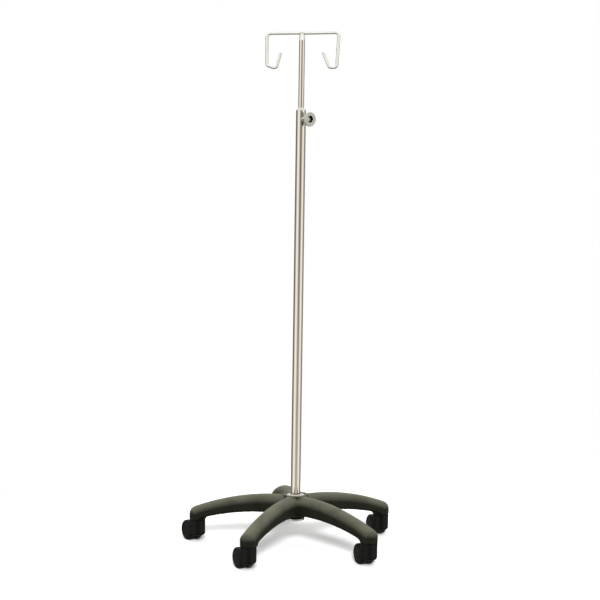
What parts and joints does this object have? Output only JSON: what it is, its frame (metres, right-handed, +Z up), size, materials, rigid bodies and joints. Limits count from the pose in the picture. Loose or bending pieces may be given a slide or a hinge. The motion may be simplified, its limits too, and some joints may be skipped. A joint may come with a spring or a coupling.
{
  "type": "mobile infusion stand",
  "caption": "Rolling infusion stand: star base of moulded nylon legs on twin-wheel casters, telescoping polished pole with a clamp knob, and a bent-rod hanger with upturned hooks.",
  "frame": {"origin": "on the floor, on the pole's axis", "axes": "+Z up along the pole; +X along the hook bar, to the right seen from the front; -Y is the front, the side that the clamp knob leans towards"},
  "size_m": [0.5528, 0.5662, 1.3336],
  "materials": {
    "base_nylon": "moulded glass-filled nylon, fine satin grain, olive charcoal",
    "caster_nylon": "moulded nylon, satin, near black",
    "wheel_nylon": "hard nylon, semi-matte tread with light scuffs",
    "cap_plastic": "moulded cap, semi-gloss",
    "pole_steel": "polished stainless tube, warm reflections",
    "hook_steel": "polished stainless rod",
    "flange_chrome": "plated disc",
    "collar_aluminium": "turned and polished",
    "zinc_steel": "zinc plated",
    "glide_nylon": "natural nylon",
    "knob_plastic": "moulded grey plastic, satin"
  },
  "bodies": {
    "base": {"base_spider": "base_nylon", "stem_sockets": "zinc_steel", "top_flange": "flange_chrome", "bottom_washer": "zinc_steel", "base_bolt": "zinc_steel", "tube_plug": "zinc_steel", "outer_tube": "pole_steel", "guide_bushing": "collar_aluminium", "clamp_boss": "pole_steel", "right_rear_caster_stem": "zinc_steel", "right_rear_stem_ring": "zinc_steel", "rear_caster_stem": "zinc_steel", "rear_stem_ring": "zinc_steel", "left_caster_stem": "zinc_steel", "left_stem_ring": "zinc_steel", "left_front_caster_stem": "zinc_steel", "left_front_stem_ring": "zinc_steel", "right_front_caster_stem": "zinc_steel", "right_front_stem_ring": "zinc_steel"},
    "glide": {"glide_ring": "glide_nylon"},
    "pole": {"inner_tube": "pole_steel", "inner_tube_plug": "glide_nylon", "hook_plug": "hook_steel", "hook_bar": "hook_steel"},
    "clamp_pad": {"pressure_pad": "glide_nylon"},
    "knob": {"clamp_screw": "zinc_steel", "knob_insert": "zinc_steel", "clamp_knob": "knob_plastic"},
    "right_rear_caster": {"right_rear_caster_housing": "caster_nylon", "right_rear_axle": "zinc_steel"},
    "right_rear_left_wheel": {"right_rear_wheel_left": "wheel_nylon", "right_rear_cap_left": "cap_plastic"},
    "right_rear_right_wheel": {"right_rear_wheel_right": "wheel_nylon", "right_rear_cap_right": "cap_plastic"},
    "rear_caster": {"rear_caster_housing": "caster_nylon", "rear_axle": "zinc_steel"},
    "rear_left_wheel": {"rear_wheel_left": "wheel_nylon", "rear_cap_left": "cap_plastic"},
    "rear_right_wheel": {"rear_wheel_right": "wheel_nylon", "rear_cap_right": "cap_plastic"},
    "left_caster": {"left_caster_housing": "caster_nylon", "left_axle": "zinc_steel"},
    "left_left_wheel": {"left_wheel_left": "wheel_nylon", "left_cap_left": "cap_plastic"},
    "left_right_wheel": {"left_wheel_right": "wheel_nylon", "left_cap_right": "cap_plastic"},
    "left_front_caster": {"left_front_caster_housing": "caster_nylon", "left_front_axle": "zinc_steel"},
    "left_front_left_wheel": {"left_front_wheel_left": "wheel_nylon", "left_front_cap_left": "cap_plastic"},
    "left_front_right_wheel": {"left_front_wheel_right": "wheel_nylon", "left_front_cap_right": "cap_plastic"},
    "right_front_caster": {"right_front_caster_housing": "caster_nylon", "right_front_axle": "zinc_steel"},
    "right_front_left_wheel": {"right_front_wheel_left": "wheel_nylon", "right_front_cap_left": "cap_plastic"},
    "right_front_right_wheel": {"right_front_wheel_right": "wheel_nylon", "right_front_cap_right": "cap_plastic"}
  },
  "joints": [
    {"name": "pole_height", "type": "slide", "parent": "base", "child": "glide", "axis": [0, 0, 1], "range_m": [-0.165, 0.765]},
    {"name": "pole_swivel", "type": "hinge", "parent": "glide", "child": "pole", "pos_m": [0, 0, 1.2], "axis": [0, 0, 1], "continuous": true},
    {"name": "clamp_travel", "type": "slide", "parent": "base", "child": "clamp_pad", "axis": [0.6157, -0.788, 0], "range_m": [0, 0.0025]},
    {"name": "knob_turn", "type": "hinge", "parent": "clamp_pad", "child": "knob", "pos_m": [0, 0, 1.111], "axis": [0.6157, -0.788, 0], "range_deg": [0, 720]},
    {"name": "right_rear_swivel", "type": "hinge", "parent": "base", "child": "right_rear_caster", "pos_m": [0.22993, 0.12138, 0.06], "axis": [0, 0, 1], "continuous": true},
    {"name": "right_rear_left_roll", "type": "hinge", "parent": "right_rear_caster", "child": "right_rear_left_wheel", "pos_m": [0.21949, 0.14596, 0.0265], "axis": [-0.9205, -0.3907, 0], "continuous": true},
    {"name": "right_rear_right_roll", "type": "hinge", "parent": "right_rear_caster", "child": "right_rear_right_wheel", "pos_m": [0.21949, 0.14596, 0.0265], "axis": [-0.9205, -0.3907, 0], "continuous": true},
    {"name": "rear_swivel", "type": "hinge", "parent": "base", "child": "rear_caster", "pos_m": [-0.04439, 0.25618, 0.06], "axis": [0, 0, 1], "continuous": true},
    {"name": "rear_left_roll", "type": "hinge", "parent": "rear_caster", "child": "rear_left_wheel", "pos_m": [-0.05264, 0.28158, 0.0265], "axis": [-0.9511, -0.309, 0], "continuous": true},
    {"name": "rear_right_roll", "type": "hinge", "parent": "rear_caster", "child": "rear_right_wheel", "pos_m": [-0.05264, 0.28158, 0.0265], "axis": [-0.9511, -0.309, 0], "continuous": true},
    {"name": "left_swivel", "type": "hinge", "parent": "base", "child": "left_caster", "pos_m": [-0.25736, 0.03695, 0.06], "axis": [0, 0, 1], "continuous": true},
    {"name": "left_left_roll", "type": "hinge", "parent": "left_caster", "child": "left_left_wheel", "pos_m": [-0.27229, 0.05908, 0.0265], "axis": [-0.829, -0.5592, 0], "continuous": true},
    {"name": "left_right_roll", "type": "hinge", "parent": "left_caster", "child": "left_right_wheel", "pos_m": [-0.27229, 0.05908, 0.0265], "axis": [-0.829, -0.5592, 0], "continuous": true},
    {"name": "left_front_swivel", "type": "hinge", "parent": "base", "child": "left_front_caster", "pos_m": [-0.11467, -0.23335, 0.06], "axis": [0, 0, 1], "continuous": true},
    {"name": "left_front_left_roll", "type": "hinge", "parent": "left_front_caster", "child": "left_front_left_wheel", "pos_m": [-0.1272, -0.20977, 0.0265], "axis": [-0.8829, -0.4695, 0], "continuous": true},
    {"name": "left_front_right_roll", "type": "hinge", "parent": "left_front_caster", "child": "left_front_right_wheel", "pos_m": [-0.1272, -0.20977, 0.0265], "axis": [-0.8829, -0.4695, 0], "continuous": true},
    {"name": "right_front_swivel", "type": "hinge", "parent": "base", "child": "right_front_caster", "pos_m": [0.18649, -0.18116, 0.06], "axis": [0, 0, 1], "continuous": true},
    {"name": "right_front_left_roll", "type": "hinge", "parent": "right_front_caster", "child": "right_front_left_wheel", "pos_m": [0.17563, -0.15677, 0.0265], "axis": [-0.9135, -0.4067, 0], "continuous": true},
    {"name": "right_front_right_roll", "type": "hinge", "parent": "right_front_caster", "child": "right_front_right_wheel", "pos_m": [0.17563, -0.15677, 0.0265], "axis": [-0.9135, -0.4067, 0], "continuous": true}
  ],
  "couplings": [
    {"joint": "clamp_travel", "follows": "knob_turn", "m_per_rad": 0.00019894}
  ]
}
